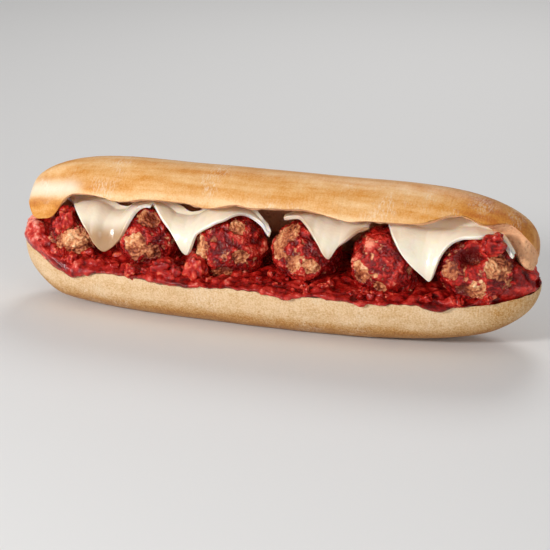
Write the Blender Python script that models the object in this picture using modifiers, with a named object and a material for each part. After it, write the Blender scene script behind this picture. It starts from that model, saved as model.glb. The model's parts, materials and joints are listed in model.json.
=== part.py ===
"""A hot meatball submarine sandwich with melted cheese, modelled in metres.

A long soft roll lies on its flat base. It was sliced from the front and opened like a mouth:
the base holds a bed of chunky tomato sauce, six meatballs sit in the bed in one row, four
corners of melted cheese hang over them, and the lid leans on the cheese with its back edge
on the base's back edge.

Axes: +X along the roll, -Y towards the open front, +Z up. The origin is on the surface that the
sandwich stands on, under the middle of its overall length and width. The opened lid overhangs the
back, so the roll itself is built about its own centreline and shifted forward on an empty.
"""

import math

import bmesh
import bpy
from mathutils import Matrix, Vector, noise

# The roll, before it was sliced
REACH = {"base": (-0.1440, 0.1440), "lid": (-0.1425, 0.1415)}  # x of the two ends
HALF_WIDTH = 0.0340
CENTRELINE_Y = -0.0021
BASE_HEIGHT = 0.0310  # from the slice down to the underside, which the plate then flattens
LID_HEIGHT = 0.0275  # from the slice up to the crown
# Superellipse powers of the left and right ends: seen from above, at the front and at the back,
# then seen from the side; and of the cross-section
PLAN_FRONT = {"base": (3.1, 2.2), "lid": (3.6, 3.4)}
PLAN_BACK = (3.2, 3.0)
SIDE = {"base": (8.0, 3.6), "lid": (4.3, 4.3)}
SECTION_ROUNDING = {"base": 2.45, "lid": 2.3}
CROWN_RISE = 0.0016
CROWN_SAG = 0.0007  # the crown dips in the middle and swells towards both ends
CROWN_SAG_LENGTH = 0.18
CRUST_WANDER = 0.0004
BASE_TIP_LIFT = (0.0065, 0.0030)  # the base's two tips curl up by this much
TIP_LENGTH = 0.026

# The slice and the opening
SLICE_HEIGHT = 0.0295  # above the plate, on the roll's centreline
SLICE_TILT = math.radians(7.7)  # the knife climbed towards the back
OPENING = math.radians(37.1)  # the lid turned about the back edge
HINGE_GAP = 0.0006
PIECE_GAP = 0.0004
BED_GAP = 0.0008  # under the sauce, where the facets of the dish cut its corners

# The hollows that the filling presses into the two cut faces
DISH_DEPTH = 0.0124
DISH_HALF_WIDTH = 0.0285
DISH_CENTRE = 0.0045  # towards the front
SCOOP_DEPTH = 0.0140
SCOOP_HALF_WIDTH = 0.0235
SCOOP_CENTRE = 0.0065
HOLLOW_REACH = 0.1430
# Where the lid's front lip is pushed up by the filling or sinks between: x, spread, rise.
# Its left end curls down over the sauce as a rounded lobe.
LIP_BENDS = (
    (-0.1330, 0.0090, -0.0180), (-0.1215, 0.0070, -0.0110), (-0.0800, 0.0110, -0.0028),
    (-0.0290, 0.0090, -0.0016), (-0.0130, 0.0070, 0.0016), (0.0060, 0.0080, 0.0012),
    (0.0240, 0.0120, 0.0026), (0.0490, 0.0060, -0.0012), (0.0780, 0.0150, 0.0016),
    (0.1095, 0.0135, 0.0086), (0.1310, 0.0110, 0.0120),
)
# The lid's crumb hangs below the slice at its two ends: x, spread, drop
LID_END_DROPS = ((-0.1430, 0.0130, 0.0135), (0.1400, 0.0120, 0.0140))

# Meatballs: centre x, y, z and half sizes along x, y, z
MEATBALLS = (
    ((-0.1125, -0.0080, 0.0372), (0.0178, 0.0175, 0.0172)),
    ((-0.0695, -0.0080, 0.0392), (0.0182, 0.0178, 0.0182)),
    ((-0.0220, -0.0080, 0.0396), (0.0198, 0.0190, 0.0208)),
    ((0.0213, -0.0070, 0.0402), (0.0190, 0.0185, 0.0188)),
    ((0.0653, -0.0070, 0.0396), (0.0205, 0.0190, 0.0208)),
    ((0.1130, -0.0070, 0.0418), (0.0230, 0.0190, 0.0178)),
)
LUMP_HEIGHT = 0.0012
LUMP_SIZE = 0.0110

# Sauce bed
SAUCE_RISE = 0.0030  # above the slice, between the meatballs
SAUCE_LUMP = 0.0016
SAUCE_END_HEAPS = ((-0.1320, 0.0150, 0.0075), (0.1330, 0.0110, 0.0075))  # x, spread, extra rise
SAUCE_HEAP_BACK = -0.0080  # the heaps fall away behind this line, over this much
SAUCE_HEAP_SLOPE = 0.0180
SAUCE_FRONT = 0.0335
SAUCE_BACK = 0.0220
SAUCE_HALF_LENGTH = 0.1415
SAUCE_LEVEL = 0.0400  # tomato chunks centred below this sit in the bed

# Cheese: hem of each slice as (x, degrees round the row of meatballs from the top to the front)
CHEESE_THICKNESS = 0.0021
CHEESE_CLEARANCE = 0.0016  # over the meatballs, which are lumpy
CHEESE_SAG = 0.0050  # how far a slice sinks between two meatballs
CHEESE_FALL = 1.15  # past the first and last meatball a slice curves down over this many radii
CHEESE_BACK_ANGLE = -28.0  # where a slice ends under the lid, in its middle and at its two sides
CHEESE_BACK_ANGLE_AT_SIDES = -8.0
CHEESE_HEMS = (
    ((-0.1180, 2), (-0.1125, 14), (-0.1020, 52), (-0.0915, 86), (-0.0860, 103), (-0.0830, 86),
     (-0.0780, 62), (-0.0735, 38), (-0.0690, 20), (-0.0650, 6)),
    ((-0.0620, 8), (-0.0545, 44), (-0.0475, 70), (-0.0390, 92), (-0.0365, 98), (-0.0355, 76),
     (-0.0320, 58), (-0.0230, 36), (-0.0130, 12), (-0.0050, 6), (0.0010, 22), (0.0055, 34)),
    ((0.0100, 6), (0.0200, 16), (0.0235, 30), (0.0285, 56), (0.0340, 74), (0.0375, 84),
     (0.0400, 72), (0.0455, 54), (0.0525, 38), (0.0585, 22)),
    ((0.0680, 12), (0.0715, 42), (0.0770, 62), (0.0850, 86), (0.0930, 108), (0.0955, 84),
     (0.1000, 50), (0.1080, 24), (0.1165, 10), (0.1190, -4), (0.1260, -4), (0.1275, 22), (0.1305, 46)),
)

# Tomato chunks: centre x, y, z, half sizes, and the meatball that each one leans on
TOMATO_CHUNKS = (
    ((-0.0350, -0.0270, 0.0310), (0.0058, 0.0045, 0.0072), 3),
    ((-0.0520, -0.0285, 0.0300), (0.0085, 0.0050, 0.0048), 2),
    ((-0.1132, -0.0205, 0.0482), (0.0048, 0.0052, 0.0074), 1),
    ((0.1234, -0.0172, 0.0590), (0.0055, 0.0048, 0.0052), 6),
)

COLOURS = {
    "crust": ((0.72, 0.45, 0.19), 0.6),
    "sauce": ((0.45, 0.03, 0.015), 0.25),
    "meat": ((0.33, 0.12, 0.06), 0.5),
    "cheese": ((0.86, 0.78, 0.55), 0.35),
    "tomato": ((0.60, 0.05, 0.02), 0.2),
}


def clear_scene():
    for obj in list(bpy.data.objects):
        bpy.data.objects.remove(obj, do_unlink=True)


def collection(name):
    made = bpy.data.collections.new(name)
    bpy.context.scene.collection.children.link(made)
    return made


def material(name):
    colour, roughness = COLOURS[name]
    made = bpy.data.materials.new(name)
    made.use_nodes = True
    shader = made.node_tree.nodes["Principled BSDF"]
    shader.inputs["Base Color"].default_value = (*colour, 1)
    shader.inputs["Roughness"].default_value = roughness
    shader.inputs["Metallic"].default_value = 0
    return made


def object_from(bm, name, into, finish=None):
    if all(edge.is_manifold for edge in bm.edges) and bm.calc_volume(signed=True) < 0:
        bmesh.ops.reverse_faces(bm, faces=bm.faces)
    mesh = bpy.data.meshes.new(name)
    bm.to_mesh(mesh)
    bm.free()
    mesh.shade_smooth()
    obj = bpy.data.objects.new(name, mesh)
    into.objects.link(obj)
    if finish:
        mesh.materials.append(finish)
    return obj


def smooth_step(value):
    value = min(max(value, 0.0), 1.0)
    return value * value * (3 - 2 * value)


def superellipse(share, power):
    """How wide a superellipse still is at this share of its half-length."""
    return max(1 - abs(share) ** power, 0.0) ** (1 / power)


def power_of(value, power):
    return math.copysign(abs(value) ** power, value)


def outline(x, reach, powers):
    """Share of the full size left at x, for an outline whose two ends round off differently."""
    end = 0 if x < 0 else 1
    return superellipse(x / reach[end], powers[end])


def hollow(across, centre, half_width, x):
    """A dish profile from 0 at its rim to 1, which also runs out towards the roll's ends."""
    share = (across - centre) / half_width
    along = max(1 - (x / HOLLOW_REACH) ** 8, 0.0)
    return (1 - share * share) * along if abs(share) < 1 else 0.0


def hills(x, rows):
    """The sum of rounded hills, one per (x, spread, rise) row."""
    return sum(rise * math.exp(-(((x - at) / spread) ** 2)) for at, spread, rise in rows)


def swell(x, turn):
    """Gentle unevenness of a hand-shaped roll."""
    crown = CROWN_RISE - CROWN_SAG * math.cos(2 * math.pi * x / CROWN_SAG_LENGTH)
    return crown + CRUST_WANDER * (math.sin(61 * x + 0.6 + turn) + math.sin(113 * x - 1.1 - 2 * turn))


def tip_lift(x):
    """How far the base's curled-up tips stand above the straight slice."""
    end = 0 if x < 0 else 1
    past = (x / REACH["base"][end] - 1) * abs(REACH["base"][end]) / TIP_LENGTH + 1
    return BASE_TIP_LIFT[end] * smooth_step(past) if past > 0 else 0.0


def ends_first_sphere(around, along):
    """A sphere primitive with its poles at -X and +X, the cage of every long piece."""
    bm = bmesh.new()
    bmesh.ops.create_uvsphere(bm, u_segments=around, v_segments=along, radius=1)
    bmesh.ops.rotate(bm, verts=bm.verts, matrix=Matrix.Rotation(math.pi / 2, 3, "Y"))
    return bm


def angles_of(co):
    """(place along the piece from -1 to 1, turn round it) of a point on that sphere."""
    turn = math.atan2(co.z, -co.y) % (2 * math.pi)
    return max(-1.0, min(1.0, co.x)), turn


def slice_frame(tilt, pivot=None):
    """Turns (x, towards the front, away from the slice) into the roll's own frame."""
    front = Vector((0, -math.cos(tilt), -math.sin(tilt)))
    up = Vector((0, -math.sin(tilt), math.cos(tilt)))
    return front, up


BASE_FRONT, BASE_UP = slice_frame(SLICE_TILT)
SLICE_MIDDLE = Vector((0, 0, SLICE_HEIGHT))
BACK_EDGE = SLICE_MIDDLE - HALF_WIDTH * BASE_FRONT + HINGE_GAP * BASE_UP
LID_FRONT, LID_UP = slice_frame(SLICE_TILT - OPENING)
LID_MIDDLE = BACK_EDGE + HALF_WIDTH * LID_FRONT


def half_of_roll(name, into, finish, kind, around=24, along=32):
    """One half of the roll: crust on half of the sphere's turns, cut face on the other half."""
    lid = kind == "lid"
    middle, front, outward = (
        (LID_MIDDLE, LID_FRONT, LID_UP) if lid else (SLICE_MIDDLE, BASE_FRONT, -BASE_UP)
    )
    left, right = REACH[kind]
    rounding = SECTION_ROUNDING[kind]
    bm = ends_first_sphere(around, along)
    for vert in bm.verts:
        place, turn = angles_of(vert.co)
        x = abs(place) ** 0.72 * (right if place > 0 else left)
        ahead = outline(x, REACH[kind], PLAN_FRONT[kind])
        behind = outline(x, REACH[kind], PLAN_BACK)
        height = LID_HEIGHT if lid else BASE_HEIGHT
        height = height * outline(x, REACH[kind], SIDE[kind]) * ahead ** 0.3
        height = max(height + (swell(x, turn) if lid else 0.0) * ahead, 0.0)
        rise = hills(x, LIP_BENDS) * ahead if lid else 0.0
        lip = min(max(rise, 0.0) / height, 0.6) if height else 0.0
        start = math.asin(lip ** (rounding / 2))
        if turn <= math.pi:
            angle = start + (math.pi - start) * turn / math.pi
            across = HALF_WIDTH * power_of(math.cos(angle), 2 / rounding)
            away = height * abs(math.sin(angle)) ** (2 / rounding)
            away += min(rise, 0.0) * smooth_step(1 - 4 * turn / math.pi)
        else:
            edge = HALF_WIDTH * math.cos(start) ** (2 / rounding)
            spread = (1 - math.cos(turn - math.pi)) / 2
            across = -HALF_WIDTH + (edge + HALF_WIDTH) * spread
            away = lip * height * spread + min(rise, 0.0) * smooth_step(3 * spread - 2)
            if lid:
                away += SCOOP_DEPTH * hollow(across, SCOOP_CENTRE, SCOOP_HALF_WIDTH, x)
                away -= hills(x, LID_END_DROPS) * 4 * spread * (1 - spread) * ahead ** 0.3
            else:
                away += DISH_DEPTH * hollow(across, DISH_CENTRE, DISH_HALF_WIDTH, x)
        across *= ahead if across > 0 else behind
        vert.co = Vector((x, 0, 0)) + middle + across * front + away * outward
        if not lid:
            vert.co.z = max(vert.co.z + tip_lift(x), 0.0)
    return object_from(bm, name, into, finish)


def meatball(name, into, finish, centre, half_sizes, seed, grow=0.0, detail=3):
    """A hand-rolled ball: an icosphere stretched to size with soft lumps and dents."""
    bm = bmesh.new()
    bmesh.ops.create_icosphere(bm, subdivisions=detail, radius=1)
    for vert in bm.verts:
        direction = vert.co.normalized()
        where = Vector([direction[i] * half_sizes[i] for i in range(3)])
        lump = noise.noise(where / LUMP_SIZE + Vector((7.3 * seed, 2.1 * seed, 0)))
        vert.co = Vector(centre) + where + direction * (LUMP_HEIGHT * lump + grow)
    return object_from(bm, name, into, finish)


def sauce_top(x, across):
    """How high the sauce stands above the slice; across is towards the front."""
    share = (across - (SAUCE_FRONT - SAUCE_BACK) / 2) / ((SAUCE_FRONT + SAUCE_BACK) / 2)
    mound = max(1 - share ** 4, 0.0) ** 0.5
    lumps = noise.noise(Vector((x / 0.013, across / 0.011, 3.7)))
    lumps += 0.5 * noise.noise(Vector((x / 0.006, across / 0.006, 8.1)))
    forward = smooth_step((across - SAUCE_HEAP_BACK) / SAUCE_HEAP_SLOPE)
    return mound * (SAUCE_RISE + SAUCE_LUMP * lumps + forward * hills(x, SAUCE_END_HEAPS))


def sauce_bed(name, into, finish, around=18, along=38):
    """The sauce fills the base's dish, stands a little over the slice and ends at the front lip."""
    bm = ends_first_sphere(around, along)
    for vert in bm.verts:
        place, turn = angles_of(vert.co)
        x = abs(place) ** 0.8 * math.copysign(SAUCE_HALF_LENGTH, place)
        ahead = outline(x, REACH["base"], PLAN_FRONT["base"])
        behind = outline(x, REACH["base"], PLAN_BACK)
        middle = (SAUCE_FRONT - SAUCE_BACK) / 2
        half = (SAUCE_FRONT + SAUCE_BACK) / 2
        across = middle + half * power_of(math.cos(turn), 0.8)
        if turn <= math.pi:
            away = BED_GAP + 0.0005 + sauce_top(x, across) * superellipse(place, 6)
        else:
            away = BED_GAP - DISH_DEPTH * hollow(across, DISH_CENTRE, DISH_HALF_WIDTH, x)
        across *= ahead if across > 0 else behind
        vert.co = Vector((x, 0, tip_lift(x))) + SLICE_MIDDLE + across * BASE_FRONT + away * BASE_UP
    return object_from(bm, name, into, finish)


def between(x):
    """(index of the meatball at or left of x, eased share of the way to the next one)."""
    centres = [centre[0] for centre, _ in MEATBALLS]
    if x <= centres[0]:
        return 0, 0.0
    for i in range(len(centres) - 1):
        if x < centres[i + 1]:
            return i, (x - centres[i]) / (centres[i + 1] - centres[i])
    return len(centres) - 2, 1.0


def row_at(x):
    """Centre y, z of the row of meatballs at x, and the radii in y and z of a slice laid on it."""
    i, share = between(x)
    (here, here_size), (there, there_size) = MEATBALLS[i], MEATBALLS[i + 1]
    eased = smooth_step(share)
    sag = CHEESE_CLEARANCE - CHEESE_SAG * math.sin(math.pi * share) ** 2
    mix = [a + (b - a) * eased for a, b in zip((*here, *here_size), (*there, *there_size))]
    end, size = (here, here_size) if share <= 0 else (there, there_size)
    past = x - end[0] if share in (0.0, 1.0) else 0.0
    fall = superellipse(past / (CHEESE_FALL * size[0]), 2)
    return mix[1], mix[2], (mix[4] + sag) * fall, (mix[5] + sag) * fall


def hem_at(hem, x):
    """The hem's angle at x, along straight stretches between its points."""
    for (x0, a0), (x1, a1) in zip(hem, hem[1:]):
        if x <= x1:
            return a0 + (a1 - a0) * (x - x0) / (x1 - x0)
    return hem[-1][1]


def cheese_slice(name, into, finish, hem, columns=15, rows=6):
    """A corner of a slice: a grid from under the lid down to its hem, laid over the row."""
    bm = bmesh.new()
    bmesh.ops.create_grid(bm, x_segments=columns, y_segments=rows, size=1)
    first, last = hem[0][0], hem[-1][0]
    for vert in bm.verts:
        x = first + (last - first) * (vert.co.x + 1) / 2
        down = (1 - vert.co.y) / 2
        back = CHEESE_BACK_ANGLE
        back += (CHEESE_BACK_ANGLE_AT_SIDES - back) * abs(vert.co.x) ** 4
        angle = math.radians(back + (hem_at(hem, x) - back) * down)
        y, z, radius_y, radius_z = row_at(x)
        out = math.sin(min(angle, math.pi / 2))
        vert.co = Vector((x, y - radius_y * out, z + radius_z * math.cos(angle)))
    if sum(face.normal.z * face.calc_area() for face in bm.faces) < 0:
        bmesh.ops.reverse_faces(bm, faces=bm.faces)
    obj = object_from(bm, name, into, finish)
    thick = obj.modifiers.new("thickness", "SOLIDIFY")
    thick.thickness = CHEESE_THICKNESS
    thick.offset = 1
    return obj


def subtract(obj, cutter):
    cut = obj.modifiers.new("room for " + cutter.name, "BOOLEAN")
    cut.operation = "DIFFERENCE"
    cut.solver = "EXACT"
    cut.object = cutter


def tomato_chunk(name, into, finish, centre, half_sizes, seed, grow=0.0):
    """A soft cube of cooked tomato."""
    bm = bmesh.new()
    bmesh.ops.create_icosphere(bm, subdivisions=2, radius=1)
    for vert in bm.verts:
        squared = Vector([power_of(c, 0.8) for c in vert.co])
        where = Vector([squared[i] * half_sizes[i] for i in range(3)])
        where *= 1 + 0.12 * noise.noise(where / 0.004 + Vector((0, 5.0 * seed, 0)))
        vert.co = Vector(centre) + where + grow * where.normalized()
    return object_from(bm, name, into, finish)


def build():
    clear_scene()
    parts = collection("submarine_sandwich")
    cutters = collection("cutters")
    cutters.hide_render = True
    finish = {name: material(name) for name in COLOURS}

    half_of_roll("bread_base", parts, finish["crust"], "base")
    half_of_roll("bread_lid", parts, finish["crust"], "lid")
    sauce = sauce_bed("sauce_bed", parts, finish["sauce"])

    for number, (centre, half_sizes) in enumerate(MEATBALLS, 1):
        meatball(f"meatball_{number}", parts, finish["meat"], centre, half_sizes, number)
        socket = meatball(
            f"ball_socket_{number}", cutters, None, centre, half_sizes, number, grow=PIECE_GAP
        )
        subtract(sauce, socket)

    for number, hem in enumerate(CHEESE_HEMS, 1):
        cheese_slice(f"cheese_{number}", parts, finish["cheese"], hem)

    for number, (centre, half_sizes, ball) in enumerate(TOMATO_CHUNKS, 1):
        chunk = tomato_chunk(f"tomato_{number}", parts, finish["tomato"], centre, half_sizes, number)
        subtract(chunk, cutters.objects[f"ball_socket_{ball}"])
        if centre[2] < SAUCE_LEVEL:
            socket = tomato_chunk(
                f"tomato_socket_{number}", cutters, None, centre, half_sizes, number, grow=PIECE_GAP * 1.5
            )
            subtract(sauce, socket)

    for helper in cutters.objects:
        helper.hide_render = True
        helper.display_type = "WIRE"

    roll = bpy.data.objects.new("roll_centreline", None)
    roll.location.y = CENTRELINE_Y
    parts.objects.link(roll)
    for obj in [*parts.objects, *cutters.objects]:
        if obj != roll:
            obj.parent = roll


build()
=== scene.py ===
# %% [markdown]
# # A hot meatball submarine sandwich
# This lesson dresses a plain solid model of a sandwich until it looks good enough to eat. The
# solids fix every size and place. Each step below takes one food, says what it is really like,
# and then models it and mixes its finish.
#
# The first cell empties Blender's start-up scene and loads the solids as a fixed frame.

# %% Load the solids
import bpy
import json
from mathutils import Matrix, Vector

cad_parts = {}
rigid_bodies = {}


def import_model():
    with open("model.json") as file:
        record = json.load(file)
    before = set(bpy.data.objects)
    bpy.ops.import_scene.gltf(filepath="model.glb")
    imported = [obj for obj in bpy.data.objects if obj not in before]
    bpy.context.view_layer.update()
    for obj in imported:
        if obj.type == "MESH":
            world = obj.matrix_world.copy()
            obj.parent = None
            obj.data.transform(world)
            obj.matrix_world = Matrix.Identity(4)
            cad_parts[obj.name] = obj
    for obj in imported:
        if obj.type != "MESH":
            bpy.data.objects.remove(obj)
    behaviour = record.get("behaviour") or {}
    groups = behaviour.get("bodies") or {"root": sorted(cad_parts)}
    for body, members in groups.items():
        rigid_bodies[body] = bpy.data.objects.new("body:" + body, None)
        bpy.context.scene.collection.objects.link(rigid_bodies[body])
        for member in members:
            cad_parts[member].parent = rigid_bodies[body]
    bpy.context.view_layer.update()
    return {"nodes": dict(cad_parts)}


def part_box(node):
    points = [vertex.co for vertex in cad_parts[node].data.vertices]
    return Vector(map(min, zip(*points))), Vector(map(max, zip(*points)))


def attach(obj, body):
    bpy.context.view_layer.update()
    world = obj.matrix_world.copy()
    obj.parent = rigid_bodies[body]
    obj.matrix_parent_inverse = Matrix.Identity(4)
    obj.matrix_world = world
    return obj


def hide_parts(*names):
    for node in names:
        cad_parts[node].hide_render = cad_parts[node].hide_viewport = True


for leftover in list(bpy.data.objects):
    bpy.data.objects.remove(leftover, do_unlink=True)

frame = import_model()
print("solids:", ", ".join(sorted(frame["nodes"])))

# %% Other tools used below
import bisect
import json
import math
import random

import bmesh
from mathutils import Matrix, Vector, noise

MM = 0.001
BODY = "root"

# %% [markdown]
# ## The camera
# The sandwich is seen from the front and a little from the right and above. A long lens from
# about a metre away keeps both ends of the roll nearly the same size, as in a menu picture. The
# Standard view keeps reds and golds as strong as they were mixed; AgX would fade them.

# %% Camera
AZIMUTH, ELEVATION = math.radians(20), math.radians(18)
LOOK_AT = Vector((0.6, -3.6, 24.4)) * MM
backwards = Vector((
    math.sin(AZIMUTH) * math.cos(ELEVATION),
    -math.cos(AZIMUTH) * math.cos(ELEVATION),
    math.sin(ELEVATION),
))
camera = bpy.data.objects.new("camera", bpy.data.cameras.new("camera"))
bpy.context.scene.collection.objects.link(camera)
bpy.context.scene.camera = camera
camera.data.lens = 130.9
camera.data.clip_start = 0.01
camera.location = LOOK_AT + 1.072 * backwards
camera.rotation_euler = (-backwards).to_track_quat("-Z", "Y").to_euler()
bpy.context.scene.view_settings.view_transform = "Standard"
print("camera stands at", [round(c, 3) for c in camera.location])

# %% [markdown]
# ## Writing finishes as sums
# A finish is a small network of nodes. Wiring it by hand takes a page for every food, so one
# class wraps a socket: adding or multiplying two wrapped sockets makes the Math node between
# them. A second class holds the material and makes every other kind of node.

# %% Wire: a socket that can be used in sums
class Wire:
    def __init__(self, finish, socket):
        self.finish, self.socket = finish, socket

    def sum(self, operation, *values):
        return self.finish.node("Math", {"operation": operation}, dict(enumerate(values)))

    def __add__(self, other):
        return self.sum("ADD", self, other)

    def __sub__(self, other):
        return self.sum("SUBTRACT", self, other)

    def __rsub__(self, other):
        return self.sum("SUBTRACT", other, self)

    def __mul__(self, other):
        return self.sum("MULTIPLY", self, other)

    def __pow__(self, other):
        return self.sum("POWER", self, other)

    __radd__, __rmul__ = __add__, __mul__

    def between(self, low, high):
        """0 below low, 1 above high, and a smooth rise from one to the other."""
        settings = {"interpolation_type": "SMOOTHSTEP"}
        return self.finish.node("MapRange", settings, {0: self, 1: low, 2: high})


# %% Finish: a material and its nodes
class Finish:
    def __init__(self, name, **constants):
        self.material = bpy.data.materials.new(name)
        self.material.use_nodes = True
        self.tree = self.material.node_tree
        self.shader = self.tree.nodes["Principled BSDF"]
        for socket, value in constants.items():
            self.shader.inputs[socket.replace("_", " ")].default_value = value

    def plug(self, socket, value):
        if isinstance(value, Wire):
            self.tree.links.new(value.socket, socket)
        elif socket.type == "RGBA":
            socket.default_value = (*value, 1)
        else:
            socket.default_value = value

    def node(self, kind, settings=None, inputs=None, output=0):
        """Makes a node, applies its settings, then its inputs, and returns one of its outputs."""
        made = self.tree.nodes.new("ShaderNode" + kind)
        for name, value in (settings or {}).items():
            setattr(made, name, value)
        for key, value in (inputs or {}).items():
            self.plug(made.inputs[key], value)
        return Wire(self, made.outputs[output])

    def here(self, stretch=(1, 1, 1)):
        """The point being shaded, in metres, with each axis stretched by its own factor."""
        place = self.node("TexCoord", output="Object")
        return self.node("Mapping", None, {"Vector": place, "Scale": stretch})

    def cloudy(self, size_mm, place=None, detail=3, roughness=0.55):
        """Soft noise whose patches are about this size, from 0 to 1."""
        links = {"Vector": place or self.here(), "Scale": 1 / (size_mm * MM), "Detail": detail}
        return self.node("TexNoise", None, {**links, "Roughness": roughness})

    def grains(self, size_mm, place=None):
        """Distance from the middle of the nearest grain, 0 there and about 1 between grains."""
        links = {"Vector": place or self.here(), "Scale": 1 / (size_mm * MM)}
        return self.node("TexVoronoi", None, links)

    def read(self, attribute):
        """A number that was worked out for every point of the piece."""
        return self.node("Attribute", {"attribute_name": attribute}, output="Fac")

    def blend(self, share, low, high):
        """One colour where share is 0, the other where it is 1."""
        made = self.tree.nodes.new("ShaderNodeMix")
        made.data_type = "RGBA"
        for key, value in ((0, share), (6, low), (7, high)):
            self.plug(made.inputs[key], value)
        return Wire(self, made.outputs[2])

    def ramp(self, value, *stops):
        """A colour scale: stops are (place, colour)."""
        made = self.tree.nodes.new("ShaderNodeValToRGB")
        points = made.color_ramp.elements
        while len(points) < len(stops):
            points.new(0.5)
        for point, (place, colour) in zip(points, stops):
            point.position, point.color = place, (*colour, 1)
        self.plug(made.inputs[0], value)
        return Wire(self, made.outputs[0])

    def finish(self, colour, roughness, height=None, depth_mm=0.3):
        """Feeds the shader; height is a relief from 0 to 1 that is depth_mm deep."""
        self.plug(self.shader.inputs["Base Color"], colour)
        self.plug(self.shader.inputs["Roughness"], roughness)
        if height is not None:
            bump = self.node("Bump", None, {"Height": height, "Distance": depth_mm * MM})
            self.plug(self.shader.inputs["Normal"], bump)
        return self.material


# %% [markdown]
# ## Shaping helpers
# Every food starts as one of bmesh's ready shapes, whose points are then moved. Soft noise gives
# the unevenness of real food. It is worked out from a point's own place, so it is the same on
# every run.

# %% Noise and easing
def ease(value):
    value = min(max(value, 0.0), 1.0)
    return value * value * (3 - 2 * value)


def lumps(point, size_mm, seed=0.0):
    """Soft noise from about -1 to 1, with patches of this size."""
    return noise.noise(point / (size_mm * MM) + Vector((seed * 3.17, seed * 1.71, seed)))


def crags(point, size_mm, seed=0.0):
    """Rounded knobs with sharp creases between them, from 0 to about 1."""
    spot = point / (size_mm * MM) + Vector((seed * 2.3, seed, seed * 0.7))
    return 1.6 * abs(noise.noise(spot + 0.4 * noise.noise_vector(spot * 0.8)))


def hills(x, rows):
    """The sum of rounded hills, one per (x, spread, rise) row, all in millimetres."""
    return sum(rise * MM * math.exp(-(((x / MM - at) / spread) ** 2)) for at, spread, rise in rows)


def superellipse(share, power):
    return max(1 - abs(share) ** power, 0.0) ** (1 / power)


def signed_power(value, power):
    return math.copysign(abs(value) ** power, value)


# %% From a bmesh to a finished piece
def write_numbers(mesh, name, values):
    """Stores a number for every point, for the finish to read."""
    mesh.attributes.new(name, "FLOAT", "POINT").data.foreach_set("value", values)


def piece(bm, name, material, replaces=(), numbers=None):
    mesh = bpy.data.meshes.new(name)
    bm.to_mesh(mesh)
    bm.free()
    mesh.shade_smooth()
    mesh.materials.append(material)
    for label, values in (numbers or {}).items():
        write_numbers(mesh, label, values)
    obj = bpy.data.objects.new(name, mesh)
    bpy.context.scene.collection.objects.link(obj)
    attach(obj, BODY)
    if replaces:
        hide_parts(*replaces)
    print(f"{name}: {len(mesh.vertices)} points, {len(mesh.polygons)} faces")
    return obj


# %% [markdown]
# ## The roll
# A soft roll is sliced from the front and opened like a mouth. Its crust is thin, golden on top
# and paler down the sides, with fine wrinkles that run round it and streaks that run along it.
# Where the knife went there is crumb: matt, porous and pale. The solids have few faces, so both
# halves are shaped again here from a finer sphere with the same outlines. The sphere's two poles
# become the tips of the roll, half of each ring becomes crust and the other half the cut face.

# %% The roll's measures
ROLL_LINE = Vector((0, -2.1, 0)) * MM
REACH = {"base": (-144.0 * MM, 144.0 * MM), "lid": (-142.5 * MM, 141.5 * MM)}
PLAN_FRONT, PLAN_BACK = {"base": (3.1, 2.2), "lid": (3.6, 3.4)}, (3.2, 3.0)
SIDE = {"base": (8.0, 3.6), "lid": (4.3, 4.3)}
HALF_WIDTH, HEIGHT = 34.0 * MM, {"base": 31.0 * MM, "lid": 27.5 * MM}
ROUNDING = {"base": 2.45, "lid": 2.3}
SLICE_TILT, OPENING = math.radians(7.7), math.radians(37.1)
LIP_BENDS = ((-132, 9, -20.0), (-120.5, 7, -13.0), (-80, 11, -2.8), (-29, 9, -1.6), (-13, 7, 1.6),
             (6, 8, 1.2), (24, 12, 2.6), (49, 6, -1.2), (78, 15, 0.8), (106, 14.5, 10.0), (131, 10, 12.0))
LOBE_TUCK = 0.35
LID_END_DROPS = ((-143, 13.5, 13.5), (138.5, 12, 16.5))


def towards_front_and_up(tilt):
    return (
        Vector((0, -math.cos(tilt), -math.sin(tilt))),
        Vector((0, -math.sin(tilt), math.cos(tilt))),
    )


BASE_FRONT, BASE_UP = towards_front_and_up(SLICE_TILT)
LID_FRONT, LID_UP = towards_front_and_up(SLICE_TILT - OPENING)
SLICE_MIDDLE = ROLL_LINE + Vector((0, 0, 29.5 * MM))
BACK_EDGE = SLICE_MIDDLE - HALF_WIDTH * BASE_FRONT - 0.3 * MM * BASE_UP
LID_MIDDLE = BACK_EDGE + HALF_WIDTH * LID_FRONT


# %% Outlines of the roll
def end_of(pair, x):
    return pair[0 if x < 0 else 1]


def outline(x, reach, powers):
    """Share of the full width or height that is left at x."""
    return superellipse(x / end_of(reach, x), end_of(powers, x))


def dish(across, centre_mm, half_mm, x):
    """The hollow that the filling presses into crumb: 0 at its rim and 1 in its middle."""
    share = (across / MM - centre_mm) / half_mm
    return max(1 - share * share, 0.0) * max(1 - (x / (143 * MM)) ** 8, 0.0)


def tip_lift(x):
    """The tips of the base curl up a little."""
    return end_of((6.5, 3.0), x) * MM * ease((abs(x) - 118 * MM) / (26 * MM))


# %% A sphere that lies along the roll
def walk_along(reach, power, width, steps=3000):
    """A function that gives x at a share of the walk from the middle round to the tip."""
    places = [reach * (1 - (1 - step / steps) ** 4) for step in range(steps + 1)]
    walked = [0.0]
    for here, there in zip(places, places[1:]):
        sideways = width * (superellipse(here / reach, power) - superellipse(there / reach, power))
        walked.append(walked[-1] + math.hypot(there - here, sideways))

    def place(share):
        goal = min(share, 1.0) * walked[-1]
        after = min(max(bisect.bisect_left(walked, goal), 1), steps)
        part = (goal - walked[after - 1]) / (walked[after] - walked[after - 1])
        return places[after - 1] + (places[after] - places[after - 1]) * part

    return place


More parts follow.
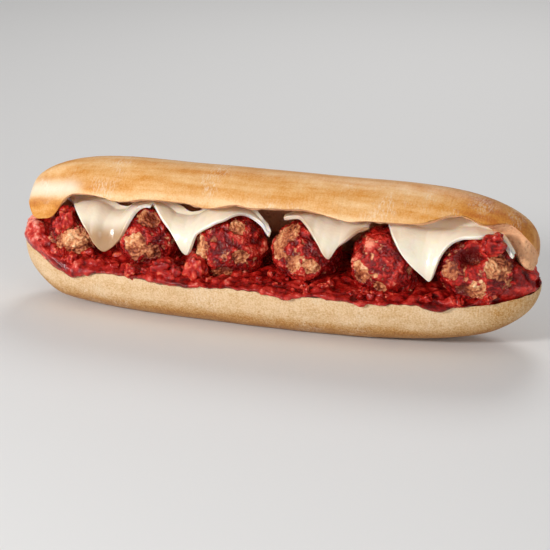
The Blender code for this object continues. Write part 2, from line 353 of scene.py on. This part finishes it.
def long_sphere(around, along):
    """A sphere with its poles at -X and +X, and for each point its share along and turn round."""
    bm = bmesh.new()
    bmesh.ops.create_uvsphere(bm, u_segments=around, v_segments=along, radius=1)
    bmesh.ops.rotate(bm, verts=bm.verts, matrix=Matrix.Rotation(math.pi / 2, 3, "Y"))
    places = []
    for vert in bm.verts:
        share = math.asin(max(-1.0, min(1.0, vert.co.x))) / (math.pi / 2)
        places.append((share, math.atan2(vert.co.z, -vert.co.y) % (2 * math.pi)))
    return bm, places


# %% Crust and cut face of one half
def roll_half(kind, around=208, along=410):
    lid = kind == "lid"
    middle, front, outward = (
        (LID_MIDDLE, LID_FRONT, LID_UP) if lid else (SLICE_MIDDLE, BASE_FRONT, -BASE_UP)
    )
    power = 2 / ROUNDING[kind]
    walks = [walk_along(REACH[kind][end], PLAN_FRONT[kind][end], HALF_WIDTH) for end in (0, 1)]
    bm, places = long_sphere(around, along)
    cuts, flats = [], []
    for vert, (share, turn) in zip(bm.verts, places):
        x = walks[share > 0](abs(share))
        ahead, behind = outline(x, REACH[kind], PLAN_FRONT[kind]), outline(x, REACH[kind], PLAN_BACK)
        height = HEIGHT[kind] * outline(x, REACH[kind], SIDE[kind]) * ahead ** 0.3
        if lid:
            height += ahead * MM * (1.6 + 0.4 * math.sin(61 * x + 0.6 + turn) - 0.7 * math.cos(34.9 * x))
        height = max(height, 0.0)
        rise = hills(x, LIP_BENDS) * ahead if lid else 0.0
        lip = min(max(rise, 0.0) / height, 0.6) if height else 0.0
        start = math.asin(lip ** (1 / power))
        if turn <= math.pi:
            angle = start + (math.pi - start) * turn / math.pi
            across = HALF_WIDTH * signed_power(math.cos(angle), power)
            away = height * abs(math.sin(angle)) ** power
            curl = min(rise, 0.0) * ease(1 - 4 * turn / math.pi)
            away, across = away + curl, across + LOBE_TUCK * curl
            cut = 0.0
        else:
            edge = HALF_WIDTH * math.cos(start) ** power + LOBE_TUCK * min(rise, 0.0)
            spread = (1 - math.cos(turn - math.pi)) / 2
            across = -HALF_WIDTH + (edge + HALF_WIDTH) * spread
            away = lip * height * spread + min(rise, 0.0) * ease(3 * spread - 2)
            if lid:
                closing = 1 - 0.85 * ease((x - 108 * MM) / (18 * MM))
                away += 14.0 * MM * dish(across, 6.5, 23.5, x) * closing
                bulge = ease((1 - spread) / 0.3) * ease(spread / 0.6)
                away -= hills(x, LID_END_DROPS) * bulge * ahead ** 0.3
            else:
                away += 12.4 * MM * dish(across, 4.5, 28.5, x)
            cut = ease(spread * 60) * ease((1 - spread) * 40)
        across *= ahead if across > 0 else behind
        vert.co = Vector((x, 0, 0)) + middle + across * front + away * outward
        if not lid:
            vert.co.z = max(vert.co.z + tip_lift(x), 0.0)
        cuts.append(cut)
        flats.append((across, away))
    if bm.calc_volume(signed=True) < 0:
        bmesh.ops.reverse_faces(bm, faces=bm.faces)
    return bm, cuts, flats


# %% Relief of crust and crumb
def bake(bm, cuts, flats, seed, browning_and_shade, ridge_highlighting):
    """Softens the lips, roughens the surface and works out each point's tone, which is browning with painted light
    and shade, and its painted highlight.
    """
    ring = [v for v, (across, away) in zip(bm.verts, flats) if abs(away) < 3 * MM and across > 0]
    for _ in range(5):
        bmesh.ops.smooth_vert(bm, verts=ring, factor=0.5, use_axis_x=True, use_axis_y=True, use_axis_z=True)
    bm.normal_update()
    brown, ridge_highlight, moves = [], [], []
    for vert, cut, (across, away) in zip(bm.verts, cuts, flats):
        spot = vert.co
        streak = lumps(Vector((spot.x / 9, spot.y, spot.z)), 7, seed)
        wrinkle = lumps(Vector((spot.x, spot.y / 6, spot.z / 6)), 1.9, seed + 3)
        skin = 0.30 * lumps(spot, 26, seed) + 0.14 * streak + 0.07 * wrinkle
        porous = 0.55 * lumps(spot, 6, seed + 1) + 0.4 * lumps(spot, 2.4, seed + 2)
        moves.append(vert.normal * MM * (skin * (1 - cut) + porous * cut))
        brown.append(browning_and_shade(spot.x, across, away, streak))
        ridge_highlight.append(ridge_highlighting(spot.x, across, away))
    for vert, move in zip(bm.verts, moves):
        vert.co += move
        vert.co.z = max(vert.co.z, 0.0)
    return {"crumb": cuts, "brown": brown, "ridge_highlight": ridge_highlight}


def lid_browning_and_shade(x, across, away, streak):
    """0 is pale and 1 is brown: golden all over and deeper at the back; the paler left end and deeper right end are
    partly browning and partly painted light and shade from the lamp on the left.
    """
    right, left = ease((x - 60 * MM) / (75 * MM)), ease((-x - 95 * MM) / (50 * MM))
    back, lip = ease((-across - 5 * MM) / (25 * MM)), ease(1 - abs(away) / (6 * MM))
    lobe = ease((-x - 106 * MM) / (12 * MM)) * ease((1 * MM - away) / (5 * MM))
    # right adds painted shade on the end turned from the key lamp, and left adds painted light on the end facing
    # it, on top of their browning
    tone = 0.47 + 0.30 * streak + 0.29 * right - 0.16 * left + 0.12 * back
    return tone + 0.42 * lobe - 0.36 * lip * (1 - right)


def lid_ridge_highlight(x, across, away):
    """A painted highlight along the ridge where the left end curls down in front."""
    left, front = ease((-x - 98 * MM) / (14 * MM)), ease(across / (8 * MM))
    return left * front * math.exp(-(((away - 3.0 * MM) / (4.5 * MM)) ** 2))


def base_browning_and_shade(x, across, away, streak):
    """Paler than the lid, but toasted where it met the baking sheet, and deeper at its right end, which is partly
    toasting and partly painted shade from the lamp on the left.
    """
    low, right = ease((away - 11 * MM) / (11 * MM)), ease((x - 100 * MM) / (36 * MM))
    # right is partly toasting and partly painted shade on the end turned from the key lamp
    return 0.16 + 0.05 * streak + 0.66 * low + 0.32 * right + 0.12 * ease((-x - 120 * MM) / (20 * MM))


def base_ridge_highlight(x, across, away):
    return 0.0


# %% The finish of bread
def bread_finish(name, pale, tan, golden, brown, streaky, speckle):
    crust = Finish(name, Specular_IOR_Level=0.3, Subsurface_Weight=0.06,
                   Subsurface_Radius=(1.0, 0.5, 0.25), Subsurface_Scale=1.5 * MM)
    wrinkles = crust.cloudy(1.3, crust.here((1, 0.22, 0.22)), 2)
    streaks = crust.cloudy(5, crust.here((0.12, 1, 1)), 3)
    mottle, specks = crust.cloudy(7, detail=4), crust.cloudy(0.9, detail=2)
    tone = crust.read("brown") + (mottle - 0.5) * 0.5 + (wrinkles - 0.5) * 0.2
    tone = tone + (streaks - 0.5) * streaky + (specks - 0.5) * speckle
    skin = crust.ramp(tone, (0.0, pale), (0.35, tan), (0.68, golden), (1.0, brown))
    ticks = crust.cloudy(0.8, crust.here((1, 0.35, 0.35)), 2).between(0.42, 0.68)
    # Pale flour ticks in patches, plus the painted highlight along the lid's left ridge
    flour_and_ridge_highlight = ticks * crust.cloudy(20, detail=2).between(0.52, 0.70) * 0.45 + crust.read("ridge_highlight") * 0.9
    skin = crust.blend(flour_and_ridge_highlight, skin, (0.88, 0.74, 0.56))
    pores = crust.cloudy(1.6, detail=4)
    holes = 1 - crust.grains(2.6).between(0.05, 0.45)
    inside = crust.blend(crust.cloudy(5), (0.74, 0.35, 0.17), (0.90, 0.52, 0.29))
    # Painted shade: the crumb is darker in its holes
    inside = crust.blend(holes * 0.35, inside, (0.50, 0.20, 0.10))
    cut = (crust.read("crumb") + (mottle - 0.5) * 0.35).between(0.35, 0.65)
    relief = (1 - cut) * (wrinkles * 0.5 + specks * 0.3 + mottle * 0.3) + cut * (pores * 1.2 - holes * 0.8)
    roughness = 0.5 + cut * 0.35 + (mottle - 0.5) * 0.2
    return crust.finish(crust.blend(cut, skin, inside), roughness, relief, 0.45)


lid_finish = bread_finish(
    "lid_crust", (0.88, 0.58, 0.30), (0.78, 0.42, 0.155), (0.67, 0.275, 0.045), (0.50, 0.15, 0.02),
    streaky=1.15, speckle=0.6,
)
base_finish = bread_finish(
    "base_crust", (0.78, 0.56, 0.34), (0.64, 0.41, 0.20), (0.50, 0.245, 0.06), (0.34, 0.13, 0.03),
    streaky=0.45, speckle=1.4,
)

# %% Lid and base
bm, cuts, flats = roll_half("lid")
numbers = bake(bm, cuts, flats, 2, lid_browning_and_shade, lid_ridge_highlight)
lid = piece(bm, "roll_lid", lid_finish, ["bread_lid"], numbers)
bm, cuts, flats = roll_half("base")
numbers = bake(bm, cuts, flats, 5, base_browning_and_shade, base_ridge_highlight)
base = piece(bm, "roll_base", base_finish, ["bread_base"], numbers)

# %% [markdown]
# ## Meatballs
# Minced meat sets into a rough ball: grains a few millimetres across with cracks between them,
# browned on the outside, with chunky sauce clinging to all but a few bare patches. The knobs are
# real relief, because bump alone would leave a smooth outline. Sauce fills the cracks where it
# lies, so its cover and the height are worked out together and stored for the finish, which paints
# shade into the low places and highlight onto the high ones.

# %% Their shape
def heading(turn, rise):
    """A direction: turn is in degrees from the open front towards +X, rise in degrees up."""
    turn, rise = math.radians(turn), math.radians(rise)
    return Vector((math.sin(turn) * math.cos(rise), -math.cos(turn) * math.cos(rise), math.sin(rise)))


# Where the browned meat shows through the sauce: turn and rise of the patch, and its size as a
# share of the ball's radius
BARE = {
    1: ((17, 5, 0.44), (-8, -14, 0.40), (36, -8, 0.34)),
    2: ((23, 57, 0.34), (-6, 1, 0.36), (27, -8, 0.26)),
    3: ((-42, 6, 0.34), (10, -38, 0.36), (34, 48, 0.20), (34, 1, 0.20)),
    4: ((-48, 48, 0.42), (-46, 14, 0.36), (-8, -5, 0.24), (26, -8, 0.24)),
    5: ((-34, -3, 0.30), (2, -22, 0.18)),
    6: ((46, 20, 0.38), (-30, 7, 0.30), (9, -26, 0.30)),
}
PIT_AT, PIT_SIZE, PIT_DEPTH = heading(-1, 38), 0.30, 7.0


def meatball(number):
    low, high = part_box(f"meatball_{number}")
    centre, half = (low + high) / 2, (high - low) / 2 - Vector((0.8, 0.8, 0.8)) * MM
    bm = bmesh.new()
    bmesh.ops.create_icosphere(bm, subdivisions=7, radius=1)
    saucy, heights = [], []
    for vert in bm.verts:
        out = vert.co.normalized()
        spot = Vector([out[i] * half[i] for i in range(3)])
        meat = 1.5 * lumps(spot, 14, number) + 1.0 * crags(spot, 7.5, number)
        meat += 0.9 * crags(spot, 2.4, number + 9) + 0.35 * lumps(spot, 1.2, number) - 1.4
        bare = sum(ease(1.4 - (out - heading(*patch[:2])).length / patch[2]) for patch in BARE[number])
        ragged = 0.5 * lumps(spot, 8, number + 20) + 0.5 * lumps(spot, 3.6, number + 30)
        cover = ease((0.55 + ragged + 0.3 * lumps(spot, 1.8, number + 5) - 1.1 * bare) / 0.4)
        sauce = 0.1 + 1.5 * crags(spot, 8, number + 40) + 0.6 * crags(spot, 3.6, number + 50)
        height = meat + cover * max(0.9 * sauce - 0.45 * meat - 0.2, 0.0)
        pit = 0.0
        if number == 6:
            pit = ease(1.4 - (out - PIT_AT).length / PIT_SIZE - 0.3 * lumps(spot, 5, 77))
        vert.co = centre + spot + out * (height - PIT_DEPTH * pit) * MM
        saucy.append(cover * (1 - 0.5 * pit))
        # The pit is stored lower still, so the finish paints shade into it
        heights.append(height - 1.6 * pit)
    return piece(bm, f"meat_{number}", meat_finish, [f"meatball_{number}"],
                 {"saucy": saucy, "height": heights})


# %% The finish of meat and clinging sauce
meat = Finish("meat_and_sauce", Specular_IOR_Level=0.30, Subsurface_Weight=0.06,
              Subsurface_Radius=(1.0, 0.25, 0.12), Subsurface_Scale=0.8 * MM)
height = meat.read("height")
grain, fibre = meat.cloudy(1.5, detail=4), meat.cloudy(0.7, detail=2)
patch = meat.cloudy(5, detail=3)
# Painted shade and highlight: both colour scales follow the stored height and the grain that also makes the bump,
# darkest in the cracks and the pit and lightest on the knobs; the pink top of the red scale is a painted glint
tan_and_shade = meat.ramp(
    (height + 1.5) * 0.40 + (grain - 0.5) * 1.1 + (patch - 0.5) * 0.8,
    (0.0, (0.16, 0.022, 0.008)), (0.28, (0.46, 0.12, 0.045)),
    (0.60, (0.80, 0.36, 0.155)), (1.0, (1.0, 0.70, 0.40)),
)
red = meat.ramp(
    (height + 0.45) * 0.42 + (grain - 0.5) * 1.3 + (patch - 0.5) * 1.1,
    (0.0, (0.12, 0.002, 0.002)), (0.3, (0.31, 0.006, 0.005)),
    (0.62, (0.58, 0.026, 0.015)), (1.0, (0.90, 0.28, 0.17)),
)
wet = (meat.read("saucy") + (grain - 0.5) * 2.2 + (patch - 0.5) * 1.0).between(0.15, 0.7)
meat_finish = meat.finish(
    meat.blend(wet, tan_and_shade, red), 0.44 - wet * 0.31 + (grain - 0.5) * 0.2,
    grain + fibre * 0.5, 0.6,
)

# %% Six meatballs
meatballs = [meatball(number) for number in BARE]

# %% [markdown]
# ## The sauce
# Chunky tomato sauce fills the hollow in the base, stands a little above the knife's cut, and
# spills over the front lip here and there. It starts as another long sphere: three quarters of
# each ring go to the top that shows and the rest lies hidden in the hollow. Diced tomato makes
# rounded lumps in it, pushed out along the surface so that the edge is lumpy too.

# %% Where the sauce stands high and where it spills over
SAUCE_REACH = (-142.0 * MM, 144.5 * MM)
SAUCE_FRONT, SAUCE_BACK = 33.6 * MM, 22.0 * MM
END_HEAPS = ((-131, 14, 10.5), (132, 12, 14.0))
BARE_RIM = 0.15
SPILLS = ((-106, 13, 6.0), (-44, 17, 2.6), (17, 6, 2.6), (60, 9, 1.2), (97, 8, 3.0), (-72, 7, 0.8))
DIPS = ((-22, 15, 2.6), (21, 14, 1.6), (65, 15, 3.2), (113, 17, 2.2))


def sauce_top(x, across):
    """How high the sauce stands above the cut at this place, before its lumps."""
    middle, half = (SAUCE_FRONT - SAUCE_BACK) / 2, (SAUCE_FRONT + SAUCE_BACK) / 2
    mound = max(1 - ((across - middle) / half) ** 8, 0.0) ** 0.5
    forward = ease((across + 22 * MM) / (18 * MM))
    soft = 1.5 * lumps(Vector((x, across, 0)), 13, 3)
    fade = superellipse(x / end_of(SAUCE_REACH, x), 9)
    rise = 3.2 * MM + soft * MM + forward * (hills(x, END_HEAPS) - hills(x, DIPS))
    return mound * fade * rise


def on_base(x, across, away):
    """A point given along the roll, towards its front lip and above the cut."""
    ahead, behind = outline(x, REACH["base"], PLAN_FRONT["base"]), outline(x, REACH["base"], PLAN_BACK)
    across *= ahead if across > 0 else behind
    return Vector((x, 0, tip_lift(x))) + SLICE_MIDDLE + across * BASE_FRONT + away * BASE_UP


# %% The bed of sauce
bm, places = long_sphere(216, 430)
walks = [walk_along(reach, 3.0, SAUCE_FRONT) for reach in SAUCE_REACH]
tops, edges = [], []
for vert, (share, turn) in zip(bm.verts, places):
    x = walks[share > 0](abs(share))
    part = turn / (2 * math.pi)
    middle, half = (SAUCE_FRONT - SAUCE_BACK) / 2, (SAUCE_FRONT + SAUCE_BACK) / 2
    top = part < 0.75
    turned = math.pi * (part / 0.75 if top else 1 + (part - 0.75) / 0.25)
    across = middle + half * signed_power(math.cos(turned), 0.6)
    away = 1.0 * MM + sauce_top(x, across)
    if across > 0:
        across *= 1 - BARE_RIM * ease((x - 110 * MM) / (18 * MM))
    if not top:
        away = 0.8 * MM - 12.4 * MM * dish(across, 4.5, 28.5, x)
    spill = hills(x, SPILLS) + (0.7 + 1.2 * lumps(Vector((x, 0, 0)), 5, 8)) * MM
    edge = ease((across - 31.2 * MM) / (2.4 * MM))
    hang = edge * max(spill, 0.0) if top else 0.0
    corner = 6.0 * edge * (1 - edge) * min(hang, 1.5 * MM)
    proud = corner + (0.9 * MM * edge + 0.35 * hang) * (0.4 + 0.6 * ease(turned / 0.3)) if top else 0.0
    vert.co = on_base(x, across, away) + proud * BASE_FRONT - hang * BASE_UP
    tops.append(ease(math.sin(turned) * 3 + 0.6) if top else 0.0)
    edges.append(edge)
bmesh.ops.recalc_face_normals(bm, faces=bm.faces)
bm.normal_update()
moves, heights = [], []
for vert, top, edge in zip(bm.verts, tops, edges):
    height = 1.5 * crags(vert.co, 10, 3) + 1.3 * lumps(vert.co, 6, 6)
    height += 0.8 * lumps(vert.co, 2.8, 4) + 0.25 * lumps(vert.co, 1.4, 5) - 0.7
    # Painted light: the stored height, which sets the tone, is raised at the left end, which lies in the lid's
    # shadow
    heights.append(height + 1.4 * ease((-vert.co.x - 116 * MM) / (12 * MM)))
    height += edge * (max(height, 0.3) - height)
    moves.append(vert.normal * height * top * MM)
for vert, move in zip(bm.verts, moves):
    vert.co += move

# %% The finish of the sauce
def sauce_mix(name, darkest, dark, red, painted_glint):
    sauce = Finish(name, Specular_IOR_Level=0.32, Subsurface_Weight=0.06,
                   Subsurface_Radius=(1.0, 0.12, 0.05), Subsurface_Scale=1.2 * MM)
    pulp, seeds = sauce.cloudy(2.4, detail=3), sauce.cloudy(6, detail=3)
    # Painted shade and highlight: the tone follows the relief height and the pulp that makes the bump, darkest in
    # the hollows, and the pink top colour paints glints
    tone = (sauce.read("height") + 1.3) * 0.27 + (pulp - 0.5) * 1.1 + (seeds - 0.5) * 1.0
    colour = sauce.ramp(tone, (0.0, darkest), (0.35, dark), (0.68, red), (1.0, painted_glint))
    relief = pulp + sauce.cloudy(0.8, detail=2) * 0.5
    return sauce.finish(colour, 0.13 + (pulp - 0.5) * 0.12, relief, 0.5)


sauce_finish = sauce_mix(
    "tomato_sauce", (0.09, 0.001, 0.001), (0.33, 0.006, 0.004), (0.59, 0.036, 0.023), (0.92, 0.32, 0.23)
)
bed = piece(bm, "sauce", sauce_finish, ["sauce_bed"], {"height": heights})

# %% [markdown]
# ## Melted cheese
# Each slice was square. It softened on the hot meatballs, so one corner hangs down between two
# of them while the sides stay up over their tops. A grid is laid over the row of meatballs, from
# under the lid down to a hem that gives the corner its shape. Solidify gives it the thickness of
# a slice, and subdivision rounds its edges.

# %% The surface that the cheese lies on
balls = []
for number in range(1, 7):
    low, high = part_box(f"meatball_{number}")
    balls.append(((low + high) / 2, (high - low) / 2))

CHEESE_CLEARANCE = 1.9 * MM


def row_at(x, sag_mm, lean=1.0):
    """Middle y, z of the row of meatballs at x and the radii in y and z of the cheese over it."""
    place = 0
    while place < len(balls) - 2 and x > balls[place + 1][0].x:
        place += 1
    (here, here_half), (there, there_half) = balls[place], balls[place + 1]
    share = min(max((x - here.x) / (there.x - here.x), 0.0), 1.0)
    eased = ease(share)
    centre, half = here.lerp(there, eased), here_half.lerp(there_half, eased)
    sag = CHEESE_CLEARANCE - sag_mm * MM * math.sin(math.pi * share ** lean) ** 2
    end, end_half = (here, here_half) if share <= 0 else (there, there_half)
    past = x - end.x if share in (0.0, 1.0) else 0.0
    fall = superellipse(past / (1.15 * end_half.x), 2)
    return centre.y, centre.z, (half.y + sag) * fall, (half.z + sag) * fall


# %% The slices
# Each slice: its hem and its upper edge as (x, degrees round the row, 0 on top and 90 in front),
# how deep it sags between two balls on top and in front, how far that dip leans to the right, how
# far the slice rises under the lid, and how much tan painted shade its corner, right side and rim get.
SLICES = {
    1: {
        "hem": ((-119, -8), (-115, 3), (-111, 19), (-106.5, 36), (-102.5, 52), (-97.5, 72), (-94.5, 89),
                (-92, 102), (-89.5, 108), (-86, 100), (-81.5, 86), (-78.5, 75), (-76, 59), (-74.2, 42),
                (-73.2, 28), (-71, 18), (-66, 18)),
        "top": ((-119, -28), (-105, -30), (-90, -22), (-80, -10), (-72, -8), (-66, 4)),
        "sag": (6.0, 6.0), "lean": 1.5, "lift": 3.0, "tan_and_shade": (0.95, 0.1, 0.0),
    },
    2: {
        "hem": ((-69, -2), (-64, 14), (-58.5, 34), (-53, 52), (-47, 80), (-43, 100), (-38.5, 98),
                (-37.8, 84), (-38.0, 64), (-35.5, 57), (-28, 49), (-20, 38), (-17, 26), (-13, 12),
                (-10, 6), (-6.5, 6), (-3, 16), (0.5, 37), (3.5, 46)),
        "top": ((-69, -14), (-60, -22), (-52, -22), (-45, -14), (-39, -16), (-30, -18), (-20, -16),
                (-13, -16), (-6.5, -12), (-3, 0), (0.5, 16), (3.5, 32)),
        "sag": (8.0, 8.0), "lean": 1.0, "lift": 4.0, "tan_and_shade": (0.3, 0.0, 0.0),
    },
    3: {
        "hem": ((9, 10), (13.5, 12), (18.5, 16), (22.5, 28), (26.5, 40), (31.5, 57), (34, 68), (36.5, 80),
                (38.5, 80), (39.7, 65), (41.5, 54), (45, 45), (48.5, 35), (52, 25), (57, 19)),
        "top": ((9, 5), (14.5, -20), (23, -24), (29, -22), (41, -16), (48, -12), (53, 0), (57, 13)),
        "sag": (4.5, 6.0), "lean": 1.0, "lift": 3.0, "tan_and_shade": (0.7, 1.0, 0.5),
    },
    4: {
        "hem": ((66, 10), (70, 34), (75, 54), (80.5, 72), (86, 90), (91, 108), (93.5, 111), (94.2, 91),
                (95.5, 70), (98, 48), (102.5, 33), (107.5, 27), (113.5, 27), (117.5, 24), (120.5, 12),
                (123, 6), (126, 14), (129, 27), (133, 44)),
        "top": ((66, -4), (75, -24), (90, -28), (110, -28), (119, -24), (123, -14), (126, 0), (133, 32)),
        "sag": (4.0, 8.0), "lean": 1.0, "lift": 6.0, "tan_and_shade": (0.25, 0.1, 0.1),
    },
}


def edge_at(edge, x):
    """The angle of an edge at x, eased a little round its corners."""
    total = 0.0
    for nudge in (-0.8, 0.0, 0.8):
        place = min(max(x / MM + nudge, edge[0][0]), edge[-1][0])
        for (x0, a0), (x1, a1) in zip(edge, edge[1:]):
            if place <= x1:
                total += a0 + (a1 - a0) * (place - x0) / (x1 - x0)
                break
    return total / 3


# %% The cheese's finish
cheese = Finish("melted_cheese", Specular_IOR_Level=0.75, Subsurface_Weight=0.6,
                Subsurface_Radius=(1.0, 0.7, 0.35), Subsurface_Scale=2.0 * MM)
# Painted highlight: the slice is whiter along its rim, where the edge number is high
milky, rim_highlight = cheese.cloudy(14, detail=2), cheese.read("edge")
# Painted shade: the slice turns tan where the tip number is high
cheese_finish = cheese.finish(
    cheese.blend(cheese.read("tip"), cheese.blend(
        rim_highlight.between(0.4, 1.0), cheese.blend(milky, (0.86, 0.76, 0.58), (0.95, 0.90, 0.77)), (0.97, 0.92, 0.81)
    ), (0.46, 0.26, 0.12)),
    0.22 + (milky - 0.5) * 0.15, cheese.cloudy(5, detail=2), 0.3,
)


# %% Four slices
def cheese_slice(number, columns=38, rows=22):
    cut = SLICES[number]
    hem, (top_sag, front_sag), lift = cut["hem"], cut["sag"], cut["lift"] * MM
    first, last = hem[0][0] * MM, hem[-1][0] * MM
    bm = bmesh.new()
    bmesh.ops.create_grid(bm, x_segments=columns, y_segments=rows, size=1)
    edges, tips = [], []
    for vert in bm.verts:
        across, down = vert.co.x, (1 - vert.co.y) / 2
        x = first + (last - first) * (across + 1) / 2
        upper = edge_at(cut["top"], x)
        angle = upper + (edge_at(hem, x) - upper) * down
        sag = top_sag + (front_sag - top_sag) * ease(angle / 60)
        y, z, radius_y, radius_z = row_at(x, sag, cut["lean"])
        fold = MM * (0.8 * lumps(Vector((x, down * 14 * MM, 0)), 7, number)
                     + 0.45 * lumps(Vector((x, down * 5 * MM, 0)), 3.2, number + 4))
        out, up = math.sin(math.radians(min(angle, 90))), math.cos(math.radians(angle))
        if angle < 0:
            up = 0.5 + 0.5 * up
        vert.co = Vector((
            x, y - (radius_y + fold) * out, z + (radius_z + fold) * up + lift * ease(-angle / 24)
        ))
        edges.append(max(abs(across), abs(2 * down - 1)) ** 6)
        # Painted shade: tan at the hanging corner, on the lower right side and along the rim
        corner, side, rim = cut["tan_and_shade"]
        corner *= ease((angle - 76 + 38 * corner) / 34)
        tips.append(max(corner, side * ease(across) * down ** 2, rim * edges[-1]))
    if sum(face.normal.z * face.calc_area() for face in bm.faces) < 0:
        bmesh.ops.reverse_faces(bm, faces=bm.faces)
    obj = piece(bm, f"cheese_slice_{number}", cheese_finish, [f"cheese_{number}"],
                {"edge": edges, "tip": tips})
    thick = obj.modifiers.new("thickness", "SOLIDIFY")
    thick.thickness, thick.offset = 2.2 * MM, 1
    soft = obj.modifiers.new("rounding", "SUBSURF")
    soft.levels = soft.render_levels = 2
    return obj


slices = [cheese_slice(number) for number in SLICES]

# %% [markdown]
# ## Tomato pieces
# The sauce is chunky: soft dice of tomato from the size of a pea down to crumbs stand in it and
# cling to the meatballs. The big ones have solids of their own. The small ones are scattered
# with a fixed seed, more of them near the front lip, where they show.

# %% One soft dice of tomato
def add_dice(bm, centre, half, turn, seed, detail, numbers):
    made = bmesh.ops.create_icosphere(bm, subdivisions=detail, radius=1)["verts"]
    for vert in made:
        out = Vector([signed_power(c, 0.75) for c in vert.co])
        spot = Vector([out[i] * half[i] for i in range(3)])
        bend = noise.noise(out * 1.3 + Vector((seed, 0, seed * 0.7)))
        crumple = noise.noise(out * 2.7 + Vector((0, seed, 0)))
        spot *= 1 + 0.45 * bend + 0.18 * crumple
        vert.co = centre + turn @ spot
        # The tone number follows the crumple, so bulges get painted highlight and dents get painted shade; each
        # dice also has its own random tone
        numbers.append(0.5 + 2.2 * crumple + 1.2 * noise.noise(Vector((seed, 3, 1))))


tomato_finish = sauce_mix(
    "tomato_pieces", (0.12, 0.002, 0.001), (0.34, 0.007, 0.005), (0.56, 0.025, 0.014), (0.84, 0.20, 0.09)
)

for number in range(1, 5):
    low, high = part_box(f"tomato_{number}")
    bm, heights = bmesh.new(), []
    add_dice(bm, (low + high) / 2, (high - low) / 2, Matrix.Identity(3), number * 2.3, 6, heights)
    piece(bm, f"tomato_dice_{number}", tomato_finish, [f"tomato_{number}"], {"height": heights})

# %% Small bits over the bed
chance = random.Random(11)


def any_turn():
    return (Matrix.Rotation(chance.uniform(0, 6.3), 3, "Z") @ Matrix.Rotation(chance.uniform(0, 6.3), 3, "X"))


bm, heights = bmesh.new(), []
for count in range(60):
    x = chance.uniform(-139, 139) * MM
    across = (-4 + 37.0 * chance.random() ** 0.6) * MM
    size = (0.8 + 1.9 * chance.random() ** 2) * MM
    half = Vector([size * chance.uniform(0.5, 1.7) for _ in range(3)])
    centre = on_base(x, across, 0.5 * MM + sauce_top(x, across))
    add_dice(bm, centre, half, any_turn(), count * 0.77, 2, heights)
for count in range(30):
    x = chance.uniform(-137, 122) * MM
    across = chance.uniform(20, 33) * MM
    half = Vector([chance.uniform(1.5, 3.9) * MM for _ in range(3)])
    centre = on_base(x, across, -0.6 * MM + sauce_top(x, across))
    add_dice(bm, centre, half, any_turn(), 300 + count * 1.37, 4, heights)
piece(bm, "tomato_bits", tomato_finish, numbers={"height": heights})

# %% [markdown]
# ## Studio
# A pale floor that needs no horizon and three soft lamps: a large one above and in front, a
# weaker one from the side, and one from behind that draws a light rim along the lid.

# %% Floor and lamps
bm = bmesh.new()
bmesh.ops.create_grid(bm, x_segments=1, y_segments=1, size=6)
bmesh.ops.translate(bm, verts=bm.verts, vec=(0, 0, -0.3 * MM))
floor_mesh = bpy.data.meshes.new("floor")
bm.to_mesh(floor_mesh)
bm.free()
floor = bpy.data.objects.new("floor", floor_mesh)
bpy.context.scene.collection.objects.link(floor)
floor_mesh.materials.append(Finish("pale_floor").finish((0.80, 0.79, 0.78), 0.6))


def lamp(name, place, size, power, colour=(1, 1, 1)):
    light = bpy.data.lights.new(name, "AREA")
    light.shape = "DISK"
    light.size, light.energy, light.color = size, power, colour
    obj = bpy.data.objects.new(name, light)
    obj.location = place
    obj.rotation_euler = (Vector((0, 0, 0.04)) - obj.location).to_track_quat("-Z", "Y").to_euler()
    bpy.context.scene.collection.objects.link(obj)


lamp("key", Vector((-0.62, -1.02, 0.50)), 0.22, 12)
lamp("side", Vector((0.9, -0.9, 0.4)), 0.5, 2.5)
lamp("rim", Vector((-0.1, 0.9, 0.9)), 0.5, 4)

world = bpy.data.worlds.new("studio")
bpy.context.scene.world = world
world.use_nodes = True
world.node_tree.nodes["Background"].inputs["Color"].default_value = (1, 1, 1, 1)
world.node_tree.nodes["Background"].inputs["Strength"].default_value = 0.34
